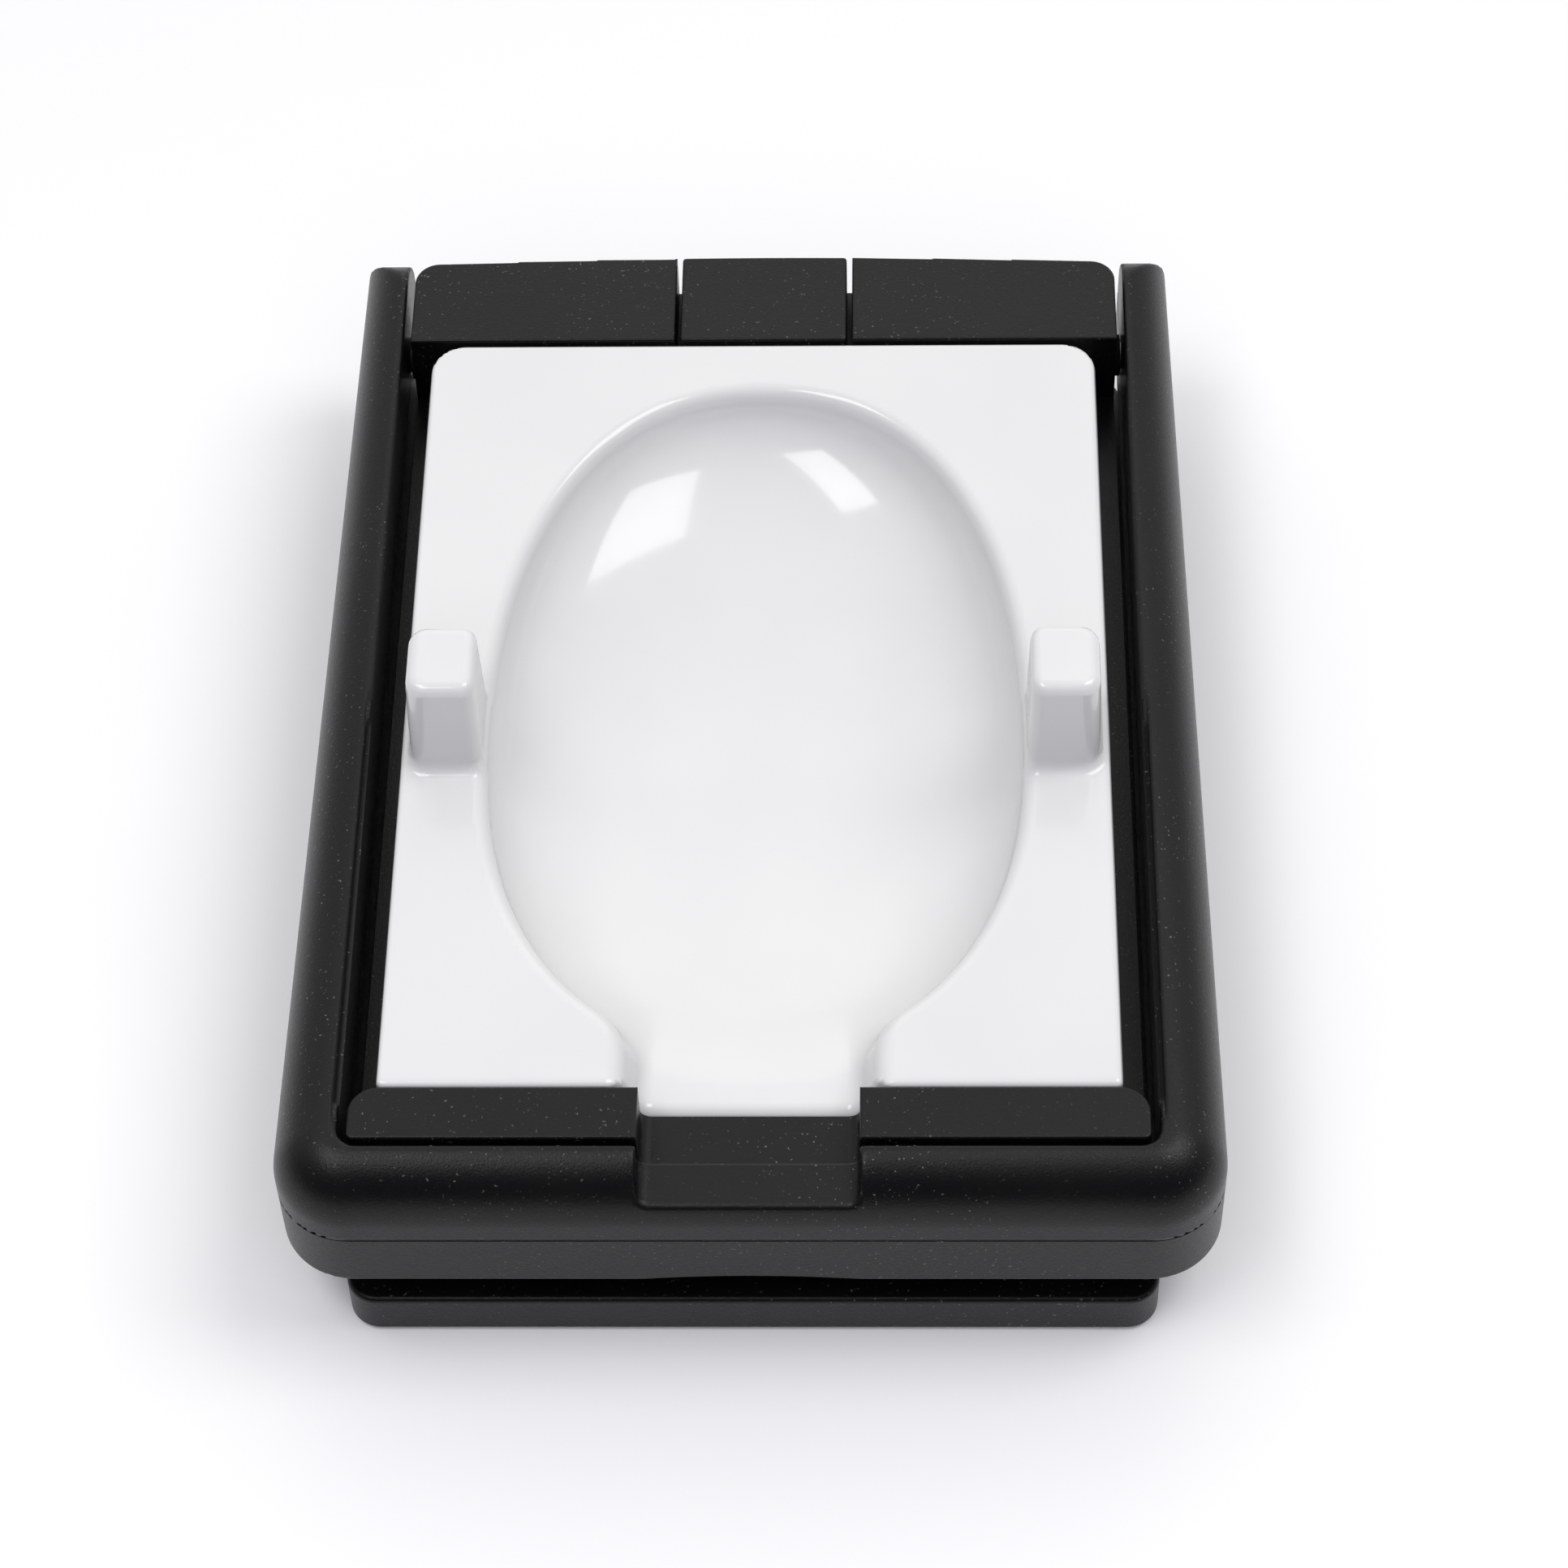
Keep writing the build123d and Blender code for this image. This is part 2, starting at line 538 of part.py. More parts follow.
with BuildPart() as catch_slider:
    with BuildSketch(Plane.XY.offset(CATCH_FLOOR + CATCH_CLEARANCE)) as slider_plan:
        with BuildLine():
            Polyline(
                (-CATCH_HALF_WIDTH, REAR_MIDDLE_Y - 0.05),
                (-CATCH_HALF_WIDTH, REAR_WALL_FRONT),
                (CATCH_HALF_WIDTH, REAR_WALL_FRONT),
                (CATCH_HALF_WIDTH, REAR_MIDDLE_Y - 0.05),
            )
            ThreePointArc(
                (CATCH_HALF_WIDTH, REAR_MIDDLE_Y - 0.05),
                (0, REAR_MIDDLE_Y),
                (-CATCH_HALF_WIDTH, REAR_MIDDLE_Y - 0.05),
            )
        make_face()
        fillet(slider_plan.vertices(), 0.3)
    extrude(amount=TOP_Z - CATCH_FLOOR - CATCH_CLEARANCE)
    fillet(catch_slider.faces().sort_by(Axis.Z)[-1].edges(), 0.25)
    with BuildSketch(Plane.XY.offset(17.5)):
        with Locations((0, REAR_WALL_FRONT)):
            Rectangle(13.6, 2.2)
    extrude(amount=0.9)
    with BuildSketch(Plane.XY.offset(KEEPER_TOP - CATCH_CLEARANCE)):
        with Locations((0, (STEM_FRONT + STEM_REAR) / 2)):
            Rectangle(2 * STEM_HALF_WIDTH, STEM_REAR - STEM_FRONT)
    extrude(amount=CATCH_FLOOR - KEEPER_TOP + 2 * CATCH_CLEARANCE)
    with BuildSketch(Plane.XY.offset(KEEPER_TOP - 1)):
        with Locations((0, (STEM_FRONT + STEM_REAR) / 2)):
            Circle(0.6)
    extrude(amount=5.2, mode=Mode.SUBTRACT)
write(catch_slider, "catch_slider")

with BuildPart() as catch_keeper:
    with BuildSketch(Plane.XY.offset(KEEPER_TOP - CATCH_CLEARANCE - KEEPER_THICKNESS)):
        with Locations((0, (STEM_FRONT + STEM_REAR) / 2)):
            RectangleRounded(9.0, 3.2, 0.5)
            Circle(0.8, mode=Mode.SUBTRACT)
    extrude(amount=KEEPER_THICKNESS)
write(catch_keeper, "catch_keeper")

with BuildPart() as catch_screw:
    with BuildSketch(Plane.XY.offset(KEEPER_TOP - CATCH_CLEARANCE - KEEPER_THICKNESS - 1.0)):
        with Locations((0, (STEM_FRONT + STEM_REAR) / 2)):
            Circle(1.3)
    extrude(amount=1.0)
    with BuildSketch(Plane.XY.offset(KEEPER_TOP - CATCH_CLEARANCE - KEEPER_THICKNESS)):
        with Locations((0, (STEM_FRONT + STEM_REAR) / 2)):
            Circle(0.55)
    extrude(amount=5.0)
write(catch_screw, "catch_screw")

# Folded steel strip: one end rests on the cavity's rear wall, the other on the keeper
with BuildPart() as catch_spring:
    with BuildSketch(Plane.XY.offset(12.2)):
        with BuildLine():
            Polyline(
                (-5.0, CATCH_CAVITY_REAR),
                (-5.0, CATCH_CAVITY_REAR - 0.3),
                (-1.0, 45.35),
                (1.0, 45.35),
                (5.0, CATCH_CAVITY_REAR - 0.3),
                (5.0, CATCH_CAVITY_REAR),
                (4.7, CATCH_CAVITY_REAR),
                (0.9, 45.65),
                (-0.9, 45.65),
                (-4.7, CATCH_CAVITY_REAR),
                close=True,
            )
        make_face()
    extrude(amount=2.2)
write(catch_spring, "catch_spring")
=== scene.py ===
"""Looks for the pocket holder: fine meshes, materials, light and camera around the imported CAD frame."""

import json
import math

import bpy
import numpy as np
from mathutils import Matrix, Vector


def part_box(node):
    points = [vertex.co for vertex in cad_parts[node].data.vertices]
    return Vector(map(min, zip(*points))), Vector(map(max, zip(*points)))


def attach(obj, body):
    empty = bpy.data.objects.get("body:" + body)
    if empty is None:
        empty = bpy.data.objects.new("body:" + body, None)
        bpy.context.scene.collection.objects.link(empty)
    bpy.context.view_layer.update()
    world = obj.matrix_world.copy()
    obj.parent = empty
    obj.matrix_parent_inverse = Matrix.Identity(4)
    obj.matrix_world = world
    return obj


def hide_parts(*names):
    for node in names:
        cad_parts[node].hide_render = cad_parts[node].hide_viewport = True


MM = 0.001
TRAY_MIDDLE = np.array((0.0, -0.8, 0.0))  # from the frame's origin, in millimetres

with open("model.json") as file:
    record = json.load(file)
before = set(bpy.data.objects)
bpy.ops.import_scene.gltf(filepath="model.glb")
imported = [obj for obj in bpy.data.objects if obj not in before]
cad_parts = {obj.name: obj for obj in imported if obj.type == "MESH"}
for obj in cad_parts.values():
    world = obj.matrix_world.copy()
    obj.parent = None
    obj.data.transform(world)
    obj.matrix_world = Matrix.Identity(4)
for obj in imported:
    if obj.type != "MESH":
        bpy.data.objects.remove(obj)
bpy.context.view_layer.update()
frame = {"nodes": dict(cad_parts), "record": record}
nodes = frame["nodes"]


# ---------------------------------------------------------------- materials


def fill_ramp(ramp, stops):
    """Sets a ramp node's stops; a stop is a position and a colour or a grey."""
    elements = ramp.color_ramp.elements
    while len(elements) < len(stops):
        elements.new(0.5)
    for element, (position, value) in zip(elements, stops):
        colour = value if isinstance(value, tuple) else (value, value, value)
        element.position = position
        element.color = (*colour, 1.0)


class Shader:
    """A Principled material and short calls that add nodes to it."""

    def __init__(self, name, **constants):
        self.material = bpy.data.materials.new(name)
        self.material.use_nodes = True
        self.tree = self.material.node_tree
        self.base = self.tree.nodes["Principled BSDF"]
        for socket, value in constants.items():
            self.base.inputs[socket.replace("_", " ")].default_value = value
        self.place = self.tree.nodes.new("ShaderNodeTexCoord").outputs["Object"]

    def link(self, output, socket):
        self.tree.links.new(output, socket)

    def noise(self, scale, detail=2.0, roughness=0.5, stretch=None):
        """A noise pattern with features about 1/scale metres across."""
        node = self.tree.nodes.new("ShaderNodeTexNoise")
        node.inputs["Scale"].default_value = scale
        node.inputs["Detail"].default_value = detail
        node.inputs["Roughness"].default_value = roughness
        place = self.place
        if stretch:
            mapping = self.tree.nodes.new("ShaderNodeMapping")
            mapping.inputs["Scale"].default_value = stretch
            self.link(place, mapping.inputs["Vector"])
            place = mapping.outputs["Vector"]
        self.link(place, node.inputs["Vector"])
        return node.outputs["Fac"]

    def ramp(self, source, stops):
        """Colours or greys by position along a ramp."""
        node = self.tree.nodes.new("ShaderNodeValToRGB")
        fill_ramp(node, stops)
        self.link(source, node.inputs["Fac"])
        return node.outputs["Color"]

    def mix(self, kind, factor, a, b):
        """Mixes two colours; factor, a and b may be numbers, tuples or outputs."""
        node = self.tree.nodes.new("ShaderNodeMix")
        node.data_type = "RGBA"
        node.blend_type = kind
        for socket, value in (("Factor", factor), ("A", a), ("B", b)):
            target = next(s for s in node.inputs if s.identifier.startswith(socket) and s.enabled)
            if isinstance(value, bpy.types.NodeSocket):
                self.link(value, target)
            else:
                target.default_value = value
        return next(s for s in node.outputs if s.enabled)

    def bump(self, height, strength, distance):
        """Adds a bump, on top of any that is already there."""
        node = self.tree.nodes.new("ShaderNodeBump")
        node.inputs["Strength"].default_value = strength
        node.inputs["Distance"].default_value = distance
        self.link(height, node.inputs["Height"])
        before = self.base.inputs["Normal"]
        if before.is_linked:
            self.link(before.links[0].from_socket, node.inputs["Normal"])
        self.link(node.outputs["Normal"], before)


def moulded_black():
    """Spark-eroded black moulding: fine grain, broad mottling and clustered bright specks."""
    shader = Shader("black_moulding", Roughness=0.42, IOR=1.5, Specular_IOR_Level=0.3)
    grain = shader.noise(5200, 3.0, 0.6)
    broad = shader.noise(75, 3.0, 0.6)
    specks = shader.ramp(shader.noise(3400, 1.0), [(0.70, 0.0), (0.76, 1.0)])
    clusters = shader.ramp(shader.noise(55, 2.0), [(0.42, 0.12), (0.62, 1.0)])
    dust = shader.mix("MULTIPLY", 1.0, specks, clusters)
    tone = shader.ramp(broad, [(0.3, (0.0026, 0.0025, 0.0028)), (0.7, (0.0046, 0.0043, 0.0043))])
    grained = shader.mix("MULTIPLY", 0.6, tone, shader.ramp(grain, [(0.35, 0.55), (0.65, 1.0)]))
    speckled = shader.mix("MIX", dust, grained, (0.13, 0.128, 0.125, 1.0))
    shader.link(speckled, shader.base.inputs["Base Color"])
    shader.link(shader.ramp(grain, [(0.3, 0.40), (0.7, 0.28)]), shader.base.inputs["Roughness"])
    shader.bump(grain, 0.5, 0.00006)
    return shader.material


def gloss_white():
    """Polished opaque white moulding with a faint ripple and faint smears."""
    shader = Shader("white_gloss", Roughness=0.1, IOR=1.5, Coat_Weight=0.3, Coat_Roughness=0.04)
    tone_stops = [(0.35, (0.715, 0.713, 0.715)), (0.65, (0.74, 0.738, 0.737))]
    shader.link(shader.ramp(shader.noise(60, 2.0), tone_stops), shader.base.inputs["Base Color"])
    smears = shader.noise(700, 3.0)
    shader.link(shader.ramp(smears, [(0.3, 0.10), (0.75, 0.17)]), shader.base.inputs["Roughness"])
    shader.bump(shader.noise(160, 1.0), 0.15, 0.00004)
    return shader.material


def rubber():
    """Black rubber with a dull, slightly mottled skin."""
    shader = Shader("rubber", Roughness=0.85, IOR=1.45)
    mottle = shader.noise(900, 4.0, 0.6)
    tone_stops = [(0.3, (0.014, 0.014, 0.015)), (0.7, (0.026, 0.026, 0.026))]
    shader.link(shader.ramp(mottle, tone_stops), shader.base.inputs["Base Color"])
    shader.link(shader.ramp(mottle, [(0.3, 0.78), (0.7, 0.93)]), shader.base.inputs["Roughness"])
    shader.bump(mottle, 0.4, 0.00008)
    return shader.material


def metal(name, light, dark, roughness, grain_stretch):
    """Machined metal with a directional grain; light and dark are its two tones."""
    shader = Shader(name, Metallic=1.0)
    lines = shader.noise(2200, 3.0, 0.6, stretch=grain_stretch)
    shader.link(shader.ramp(lines, [(0.3, dark), (0.7, light)]), shader.base.inputs["Base Color"])
    polish_stops = [(0.3, roughness + 0.1), (0.7, roughness - 0.06)]
    shader.link(shader.ramp(lines, polish_stops), shader.base.inputs["Roughness"])
    shader.bump(lines, 0.25, 0.00003)
    return shader.material


soft_black = rubber()
steel = metal("turned_steel", (0.60, 0.60, 0.61), (0.42, 0.42, 0.43), 0.32, (1.0, 1.0, 0.1))
brass = metal("turned_brass", (0.78, 0.62, 0.32), (0.60, 0.46, 0.22), 0.3, (0.1, 1.0, 1.0))
looks = {
    "black_moulding": moulded_black(),
    "white_gloss": gloss_white(),
    "rubber": soft_black,
    "screw_steel": steel,
    "pin_steel": steel,
    "brass": brass,
    "washer_black": soft_black,
}
for row in frame["record"]["subparts"]:
    mesh = nodes[row["node"]].data
    mesh.materials.clear()
    mesh.materials.append(looks[row["material_slot"]])


# ---------------------------------------------------------------- meshes from distance fields

PROJECTION_STEPS = 6


def box_2d(a, b, half_a, half_b, corner):
    """Signed distance to a rounded rectangle in a plane."""
    qa = np.abs(a) - half_a + corner
    qb = np.abs(b) - half_b + corner
    return np.hypot(np.maximum(qa, 0), np.maximum(qb, 0)) + np.minimum(np.maximum(qa, qb), 0) - corner


def both(a, b, radius=0.0):
    """Where two fields meet, with an outer edge rounded to radius."""
    if not radius:
        return np.maximum(a, b)
    rounding = np.hypot(np.maximum(radius + a, 0), np.maximum(radius + b, 0))
    return np.minimum(-radius, np.maximum(a, b)) + rounding


def either(a, b, radius=0.0):
    """Two fields joined, with an inner corner filled to radius."""
    if not radius:
        return np.minimum(a, b)
    filling = np.hypot(np.maximum(radius - a, 0), np.maximum(radius - b, 0))
    return np.maximum(radius, np.minimum(a, b)) - filling


def gradient(field, points, reach):
    """Central differences of a field at points."""
    slopes = []
    for axis in range(3):
        step = np.zeros(3)
        step[axis] = reach
        ahead = field(*(points + step).T)
        behind = field(*(points - step).T)
        slopes.append((ahead - behind) / (2 * reach))
    return np.stack(slopes, axis=1)


def skin(field, low, high, pitch):
    """Vertices, quads and normals of the surface where a field is zero, by surface nets."""
    axes = [np.arange(a - 1.5 * pitch, b + 2.5 * pitch, pitch) for a, b in zip(low, high)]
    inside = field(*np.meshgrid(*axes, indexing="ij")) < 0
    corners = sum(
        inside[i : i - 1 or None, j : j - 1 or None, k : k - 1 or None].astype(np.int8)
        for i in (0, 1)
        for j in (0, 1)
        for k in (0, 1)
    )
    cells = np.argwhere((corners > 0) & (corners < 8))
    number = np.full(corners.shape, -1)
    number[tuple(cells.T)] = np.arange(len(cells))
    points = np.stack([axes[i][cells[:, i]] + pitch / 2 for i in range(3)], axis=1)
    for _ in range(PROJECTION_STEPS):
        slope = gradient(field, points, pitch / 20)
        height = field(*points.T)
        points -= slope * (height / np.maximum((slope**2).sum(axis=1), 0.25))[:, None]
    quads = []
    for axis in range(3):
        here = [slice(1, -1)] * 3
        here[axis] = slice(0, -1)
        ahead = list(here)
        ahead[axis] = slice(1, None)
        for leaving in (True, False):
            start, end = inside[tuple(here)], inside[tuple(ahead)]
            crossing = np.argwhere(start & ~end if leaving else ~start & end)
            crossing += [0 if i == axis else 1 for i in range(3)]
            b, c = (axis + 1) % 3, (axis + 2) % 3
            around = []
            for db, dc in ((-1, -1), (0, -1), (0, 0), (-1, 0)):
                cell = crossing.copy()
                cell[:, b] += db
                cell[:, c] += dc
                around.append(number[tuple(cell.T)])
            quads.append(np.stack(around if leaving else around[::-1], axis=1))
    normals = gradient(field, points, pitch / 20)
    normals /= np.maximum(np.linalg.norm(normals, axis=1), 1e-9)[:, None]
    return points, np.concatenate(quads), normals


def add_piece(name, shape, low, high, pitch, body, slot, node):
    """Meshes a field in millimetres from the tray's middle and puts it in the place of a CAD node."""
    points, quads, normals = skin(shape, low, high, pitch)
    points += TRAY_MIDDLE
    mesh = bpy.data.meshes.new(name)
    mesh.from_pydata((points * MM).tolist(), [], quads.tolist())
    mesh.shade_smooth()
    mesh.normals_split_custom_set_from_vertices(normals.tolist())
    mesh.materials.append(looks[slot])
    piece = bpy.data.objects.new(name, mesh)
    bpy.context.scene.collection.objects.link(piece)
    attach(piece, body)
    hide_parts(node)
    return piece


def corners_mm(node):
    """Lowest and highest corner of a CAD node, in millimetres from the tray's middle."""
    low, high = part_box(node)
    return np.array(low) / MM - TRAY_MIDDLE, np.array(high) / MM - TRAY_MIDDLE


# ---------------------------------------------------------------- the insert

BOWL_CENTRE_Y = -5.65
BOWL_HALF_WIDTH = 22.75
BOWL_BACK = 39.0
BOWL_FRONT = 30.8
BOWL_DEPTH = 9.6
EGG_POWER = 2.25
DEPTH_POWER = 2.4
RIM_RADIUS = 1.2
CREST_RADIUS = 2.2
SHELL = 2.0
PLATE = 2.8
NECK_FLOOR = 17.05
NECK_FLOOR_HALF_WIDTH = 8.85
NECK_RIM_HALF_WIDTH = 10.4
NECK_BACK = -27.0
NECK_CORNER = 1.0
POST_X = 25.8
POST_Y = -4.58
POST_HALF_WIDTH = 3.05
POST_HALF_LENGTH = 3.53
POST_SPREAD_X = 0.3
POST_SPREAD_Y = 0.75
POST_CORNER = 1.7
POST_TOP_EDGE = 0.9
POST_ROOT = 2
POST_FILLET = 1.0
INSERT_REAR_CORNER = 3.0
INSERT_FRONT_CORNER = 0.5
INSERT_TOP_EDGE = 0.45
UNDERSIDE_CORNER = 1.2
TAB = 1.0
TAB_X = 20
TAB_HALF_WIDTH = 4
TAB_Z = 14.2
TAB_HALF_HEIGHT = 0.6
GROOVE_HALF_WIDTH = 7.7
GROOVE_Z = 17.95
GROOVE_HALF_HEIGHT = 0.75
GROOVE_DEPTH = 0.7
INSERT_PITCH = 0.45

insert_low, insert_high = corners_mm("dish_insert")
top_z = corners_mm("bow_upper_shell")[1][2]
insert_front = insert_low[1] + TAB
insert_rear = insert_high[1]
insert_middle = (insert_front + insert_rear) / 2
insert_half_length = (insert_rear - insert_front) / 2


def bowl(x, y, z):
    """Hollow of the bowl: an egg-shaped outline whose wall is steep at the rim and flat in the middle."""
    v = y - BOWL_CENTRE_Y
    length = np.where(v > 0, BOWL_BACK, BOWL_FRONT)
    across, along = np.abs(x) / BOWL_HALF_WIDTH, np.abs(v) / length
    spread = np.maximum((across**EGG_POWER + along**EGG_POWER) ** (1 / EGG_POWER), 1e-3)
    depth = np.maximum(top_z - z, 0) / BOWL_DEPTH
    reach = (spread**DEPTH_POWER + depth**DEPTH_POWER) ** (1 / DEPTH_POWER)
    e = 2 * EGG_POWER - 2
    plan_slope = spread ** (2 - 2 * EGG_POWER) * (across**e / BOWL_HALF_WIDTH**2 + along**e / length**2)
    d = 2 * DEPTH_POWER - 2
    slope = np.sqrt((spread / reach) ** d * plan_slope + (depth / reach) ** d / BOWL_DEPTH**2)
    return (reach - 1) / np.maximum(slope, 1e-3)


def neck(x, y, z):
    """Hollow of the neck channel, open to the front."""
    lean = (NECK_RIM_HALF_WIDTH - NECK_FLOOR_HALF_WIDTH) / (top_z - NECK_FLOOR)
    side = (np.abs(x) - NECK_FLOOR_HALF_WIDTH - lean * (z - NECK_FLOOR)) / math.hypot(1, lean)
    return both(both(side, NECK_FLOOR - z, NECK_CORNER), y - NECK_BACK)


def post(x, y, z):
    """The two posts, slightly wider at the foot."""
    top = insert_high[2]
    foot = np.clip((top - z) / (top - top_z), 0, 1.2)
    half_width = POST_HALF_WIDTH + POST_SPREAD_X * foot
    half_length = POST_HALF_LENGTH + POST_SPREAD_Y * foot
    plan = box_2d(np.abs(x) - POST_X, y - POST_Y, half_width, half_length, POST_CORNER)
    return both(both(plan, z - top, POST_TOP_EDGE), top_z - POST_ROOT - z)


def insert_shape(x, y, z):
    """The whole insert: plate, skirt, bowl shell, neck, posts, tabs and catch groove."""
    hollow = either(bowl(x, y, z), neck(x, y, z), CREST_RADIUS)
    half_width = insert_high[0]
    from_middle = y - insert_middle
    corner = np.where(y > insert_middle, INSERT_REAR_CORNER, INSERT_FRONT_CORNER)
    plan = box_2d(x, from_middle, half_width, insert_half_length, corner)
    block = both(plan, z - top_z, INSERT_TOP_EDGE)
    block = either(block, post(x, y, z), POST_FILLET)
    block = both(block, -hollow, RIM_RADIUS)
    under = box_2d(x, from_middle, half_width - SHELL, insert_half_length - SHELL, UNDERSIDE_CORNER)
    under = both(both(under, z - top_z + PLATE), SHELL - hollow)
    block = both(block, -under)
    block = both(block, insert_low[2] - z)
    tab = np.maximum(np.abs(np.abs(x) - TAB_X) - TAB_HALF_WIDTH, np.abs(z - TAB_Z) - TAB_HALF_HEIGHT)
    tab = np.maximum(tab, np.abs(y - insert_front) - TAB)
    groove = np.maximum(np.abs(x) - GROOVE_HALF_WIDTH, np.abs(z - GROOVE_Z) - GROOVE_HALF_HEIGHT)
    groove = np.maximum(groove, insert_rear - GROOVE_DEPTH - y)
    return both(either(block, tab), -groove)


add_piece(
    name="glossy_insert",
    shape=insert_shape,
    low=insert_low,
    high=insert_high,
    pitch=INSERT_PITCH,
    body="holder",
    slot="white_gloss",
    node="dish_insert",
)


# ---------------------------------------------------------------- the bow's upper shell

BOW_HALF_WIDTH_FRONT = 38.48
BOW_HALF_WIDTH_REAR = 37.1
BOW_INNER_HALF_WIDTH = 32.8
BAR_INNER = -45.65
BOW_CORNER = 6.2
OPENING_CORNER = 1.5
CROWN_RADIUS = 5.3
INNER_EDGE = 0.5
REAR_TOP_RADIUS = 5.5
REAR_EDGE = 0.2
SEAM = 0.08
NOTCH_FLOOR = 18.7
NOTCH_HALF_WIDTH = 8.9
NOTCH_CORNER = 1.0
NOTCH_EDGE = 0.35
LEDGE_START = 1.0
LEDGE_DEPTH = 0.55
LEDGE_WIDTH = 0.6
LEDGE_STEP = 0.2
LEDGE_REAR_FADE = 6
LEDGE_FRONT_FADE = 4
BOW_PITCH = 0.4

bow_low, bow_high = corners_mm("bow_upper_shell")
bow_front, bow_rear = bow_low[1], bow_high[1]
parting = bow_low[2]


def bow_outside(x, y):
    """Outline of the bow from above, rounded at its two front corners and flaring to the front."""
    flare = (BOW_HALF_WIDTH_FRONT - BOW_HALF_WIDTH_REAR) / (bow_rear - bow_front)
    side = np.abs(x) - BOW_HALF_WIDTH_FRONT + flare * (y - bow_front)
    return both(side, bow_front - y, BOW_CORNER)


def bow_inside(x, y):
    """Opening between the arms, from above."""
    return both(np.abs(x) - BOW_INNER_HALF_WIDTH, BAR_INNER - y, OPENING_CORNER)


def bow_upper(x, y, z):
    """Crowned upper shell, with a ledge inside the arms and the notch in the crossbar."""
    opening = bow_inside(x, y)
    above_top = z - bow_high[2]
    rear_fade = np.clip((LEDGE_START - y) / LEDGE_REAR_FADE, 0, 1)
    front_fade = np.clip((y - BAR_INNER - 1) / LEDGE_FRONT_FADE, 0, 1)
    fade = rear_fade * front_fade
    sunk = fade * LEDGE_DEPTH * np.clip((LEDGE_WIDTH - opening) / LEDGE_STEP, 0, 1)
    shell = both(bow_outside(x, y), above_top, CROWN_RADIUS)
    shell = both(shell, -opening, INNER_EDGE)
    shell = np.maximum(shell, above_top + sunk)
    notch = both(np.abs(x) - NOTCH_HALF_WIDTH, NOTCH_FLOOR - z, NOTCH_CORNER)
    shell = both(shell, -notch, NOTCH_EDGE)
    rear = both(y - bow_rear, above_top, REAR_TOP_RADIUS)
    shell = both(shell, rear, REAR_EDGE)
    return both(shell, parting - z, SEAM)


add_piece(
    name="crowned_bow",
    shape=bow_upper,
    low=bow_low,
    high=bow_high,
    pitch=BOW_PITCH,
    body="bow",
    slot="black_moulding",
    node="bow_upper_shell",
)


# ---------------------------------------------------------------- light, floor and camera

AIM = Vector((0, 0, 0.015))
WARM = (1.0, 0.99, 0.97)
COOL = (0.90, 0.91, 1.0)
BACKDROP_DIRECTION = (0.0, 0.82, 0.57)
ROOM_STRENGTH = 1.3
ROOM_LEVELS = [
    (0.35, (0.042, 0.042, 0.052)),
    (0.5, (0.11, 0.11, 0.13)),
    (0.65, (0.31, 0.31, 0.33)),
    (0.785, (0.50, 0.50, 0.51)),
    (0.95, (0.56, 0.56, 0.56)),
    (0.978, (1.0, 0.99, 0.96)),
]
FLOOR_HALF = 4.0
FLOOR_TONE = (0.93, 0.93, 0.935, 1.0)
CAMERA_PLACE = Vector((11.08, -231.54, 320.96))
CAMERA_DIP = 53.617
CAMERA_ROLL = 1.936
CAMERA_HEADING = 2.235
LENS = 101.55
SENSOR = 36.0


def area_light(name, place, width, depth, power, tint, mirrored=True):
    """A soft panel light aimed at the holder; mirrored=False keeps it out of reflections."""
    data = bpy.data.lights.new(name, "AREA")
    data.shape = "RECTANGLE"
    data.size, data.size_y = width, depth
    data.energy = power
    data.color = tint
    lamp = bpy.data.objects.new(name, data)
    lamp.location = place
    lamp.rotation_mode = "QUATERNION"
    lamp.rotation_quaternion = (AIM - Vector(place)).to_track_quat("-Z", "Y")
    lamp.visible_glossy = mirrored
    bpy.context.scene.collection.objects.link(lamp)


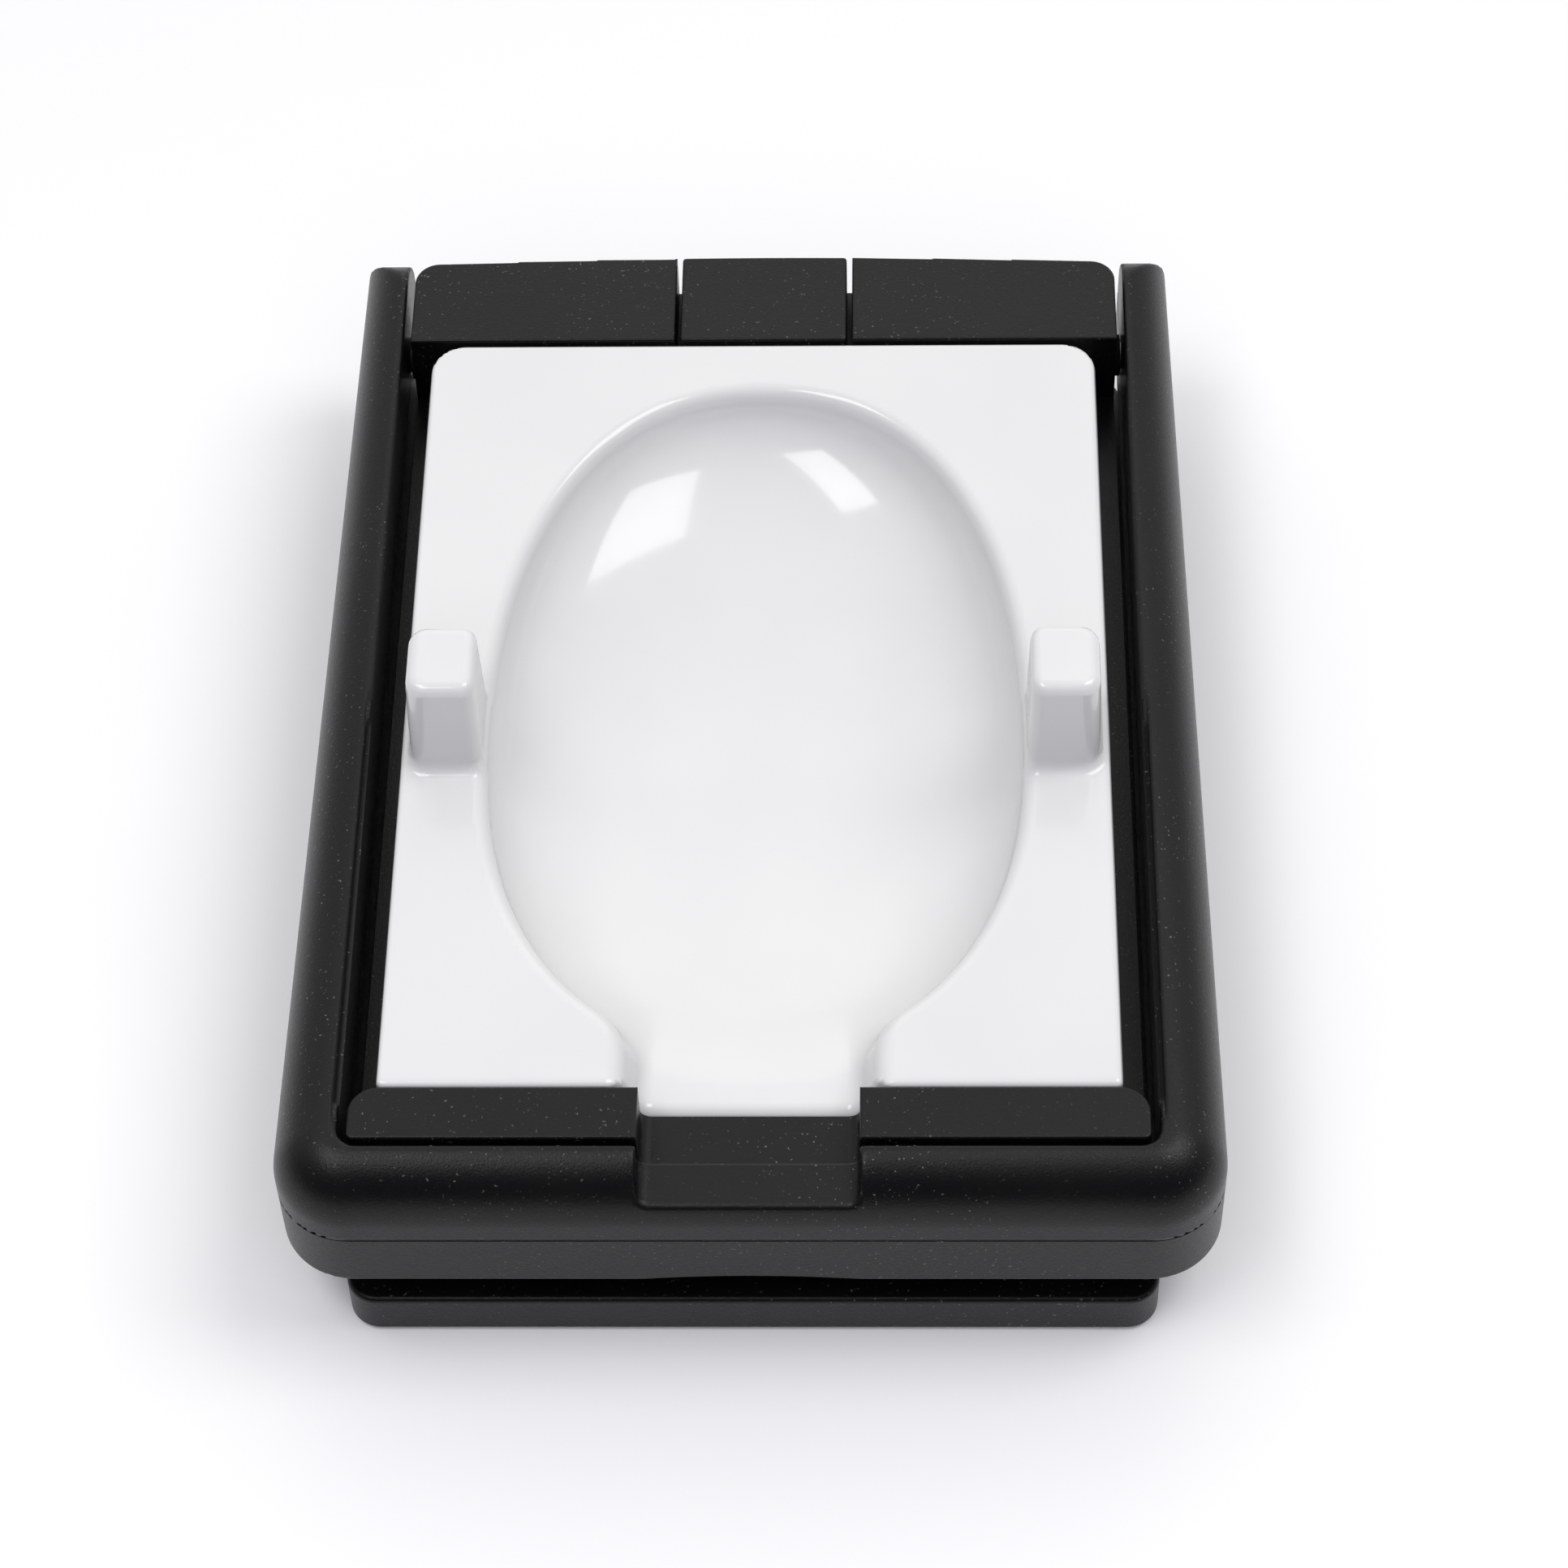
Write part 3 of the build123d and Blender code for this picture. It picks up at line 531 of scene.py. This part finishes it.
def make_light():
    """A bright backdrop low behind the holder, a dim room, two softboxes and a cool front fill."""
    area_light("softbox_right", (0.38, 0.06, 0.72), width=0.36, depth=0.44, power=1.9, tint=WARM)
    area_light("softbox_left", (-0.26, -0.11, 0.74), width=0.40, depth=0.24, power=1.4, tint=WARM)
    area_light("front_fill", (0.0, -0.50, 0.62), width=0.9, depth=0.6, power=2.2, tint=COOL, mirrored=False)
    world = bpy.data.worlds.new("room")
    bpy.context.scene.world = world
    world.use_nodes = True
    tree = world.node_tree
    direction = tree.nodes.new("ShaderNodeTexCoord").outputs["Generated"]
    towards_backdrop = tree.nodes.new("ShaderNodeVectorMath")
    towards_backdrop.operation = "DOT_PRODUCT"
    towards_backdrop.inputs[1].default_value = BACKDROP_DIRECTION
    tree.links.new(direction, towards_backdrop.inputs[0])
    span = tree.nodes.new("ShaderNodeMapRange")
    span.inputs["From Min"].default_value = -1.0
    tree.links.new(towards_backdrop.outputs["Value"], span.inputs["Value"])
    ramp = tree.nodes.new("ShaderNodeValToRGB")
    tree.links.new(span.outputs["Result"], ramp.inputs["Fac"])
    fill_ramp(ramp, ROOM_LEVELS)
    background = tree.nodes["Background"]
    tree.links.new(ramp.outputs["Color"], background.inputs["Color"])
    background.inputs["Strength"].default_value = ROOM_STRENGTH


def make_floor():
    """A wide white sweep under the holder."""
    mesh = bpy.data.meshes.new("floor")
    corners = [(x * FLOOR_HALF, y * FLOOR_HALF, 0) for x, y in ((-1, -1), (1, -1), (1, 1), (-1, 1))]
    mesh.from_pydata(corners, [], [(0, 1, 2, 3)])
    floor = bpy.data.objects.new("floor", mesh)
    bpy.context.scene.collection.objects.link(floor)
    shader = Shader("paper", Roughness=0.9)
    shader.base.inputs["Base Color"].default_value = FLOOR_TONE
    mesh.materials.append(shader.material)


def make_camera():
    """Looks down on the dish from the neck end."""
    data = bpy.data.cameras.new("camera")
    data.lens = LENS
    data.sensor_width = SENSOR
    data.clip_start = 0.01
    camera = bpy.data.objects.new("camera", data)
    bpy.context.scene.collection.objects.link(camera)
    camera.location = CAMERA_PLACE * MM
    heading = Matrix.Rotation(math.radians(CAMERA_HEADING), 3, "Z")
    tilt = Matrix.Rotation(math.radians(90 - CAMERA_DIP), 3, "X")
    roll = Matrix.Rotation(math.radians(-CAMERA_ROLL), 3, "Z")
    turn = heading @ tilt @ roll
    camera.rotation_mode = "QUATERNION"
    camera.rotation_quaternion = turn.to_quaternion()
    bpy.context.scene.camera = camera


make_light()
make_floor()
make_camera()
bpy.context.scene.view_settings.view_transform = "Standard"
